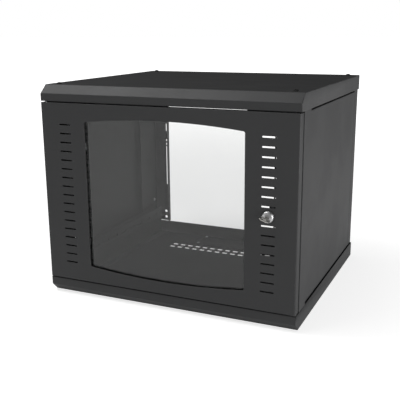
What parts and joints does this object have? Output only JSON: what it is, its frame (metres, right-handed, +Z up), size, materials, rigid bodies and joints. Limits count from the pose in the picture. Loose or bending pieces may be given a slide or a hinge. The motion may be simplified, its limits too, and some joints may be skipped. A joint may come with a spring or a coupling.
{
  "type": "wall mount network cabinet",
  "caption": "Folded-steel wall cabinet for 19-inch network gear: bevelled covers, glazed hinged door with cam lock, lift-off side panels, sliding rails and an open back.",
  "frame": {"origin": "centre of the footprint of the two covers, on the underside of the bottom cover", "axes": "+Z up, the door faces -Y, +Y towards the wall, +X to the viewer's right, where the lock is"},
  "size_m": [0.6, 0.5683, 0.4905],
  "materials": {
    "charcoal_coat": "fine-textured charcoal powder coat, satin",
    "zinc_plate": "bright zinc plate, slightly dulled",
    "lock_chrome": "polished chrome plate",
    "key_nickel": "nickel plate, worn at the bow's edge",
    "pane_glass": "clear toughened glass, faint green edge",
    "black_rubber": "matt black elastomer",
    "black_plastic": "moulded matt black nylon"
  },
  "bodies": {
    "cabinet": {"top_cover": "charcoal_coat", "bottom_cover": "charcoal_coat", "cable_entry_cover": "charcoal_coat", "cable_cover_screws": "zinc_plate", "top_plugs": "black_plastic", "front_post_left": "charcoal_coat", "rear_post_left": "charcoal_coat", "side_panel_left": "charcoal_coat", "rack_rail_left": "charcoal_coat", "side_beam_top_left": "charcoal_coat", "rail_bracket_top_left": "zinc_plate", "side_beam_bottom_left": "charcoal_coat", "rail_bracket_bottom_left": "zinc_plate", "front_post_right": "charcoal_coat", "rear_post_right": "charcoal_coat", "side_panel_right": "charcoal_coat", "rack_rail_right": "charcoal_coat", "side_beam_top_right": "charcoal_coat", "rail_bracket_top_right": "zinc_plate", "side_beam_bottom_right": "charcoal_coat", "rail_bracket_bottom_right": "zinc_plate", "rear_beam_top": "charcoal_coat", "rail_bolts": "zinc_plate", "rail_nuts": "zinc_plate", "panel_screws": "zinc_plate", "hinge_plate_top": "zinc_plate", "hinge_plate_bottom": "zinc_plate", "hinge_pin_bottom": "zinc_plate", "hinge_washer": "black_plastic", "door_edge_seals": "black_rubber", "door_bumpers": "black_rubber", "earth_stud": "zinc_plate", "earth_nut": "zinc_plate"},
    "door": {"door_frame": "charcoal_coat", "door_glass": "pane_glass", "glass_gasket": "black_rubber", "door_stiffener_left": "charcoal_coat", "door_stiffener_right": "charcoal_coat", "door_stiffener_top": "charcoal_coat", "door_stiffener_bottom": "charcoal_coat", "glass_clips": "zinc_plate", "glass_clip_screws": "zinc_plate", "hinge_bracket_top": "zinc_plate", "hinge_bracket_bottom": "zinc_plate", "lock_housing": "lock_chrome", "lock_nut": "zinc_plate", "hinge_spring": "zinc_plate"},
    "hinge_pin": {"hinge_pin_top": "zinc_plate"},
    "lock_core": {"lock_plug": "lock_chrome", "lock_cam": "zinc_plate", "cam_screw": "zinc_plate"},
    "key": {"key": "key_nickel"}
  },
  "joints": [
    {"name": "door_hinge", "type": "hinge", "parent": "cabinet", "child": "door", "pos_m": [-0.291, -0.2585, 0.24], "axis": [0, 0, -1], "range_deg": [0, 175]},
    {"name": "hinge_pin_release", "type": "slide", "parent": "door", "child": "hinge_pin", "axis": [0, 0, -1], "range_m": [0, 0.009], "stiffness_N_per_m": 400, "springref_m": -0.008, "deforming": ["hinge_spring"]},
    {"name": "lock_turn", "type": "hinge", "parent": "door", "child": "lock_core", "pos_m": [0.2375, -0.2675, 0.2415], "axis": [0, 1, 0], "range_deg": [0, 90]},
    {"name": "key_pull", "type": "slide", "parent": "lock_core", "child": "key", "axis": [0, -1, 0], "range_m": [0, 0.03]}
  ]
}
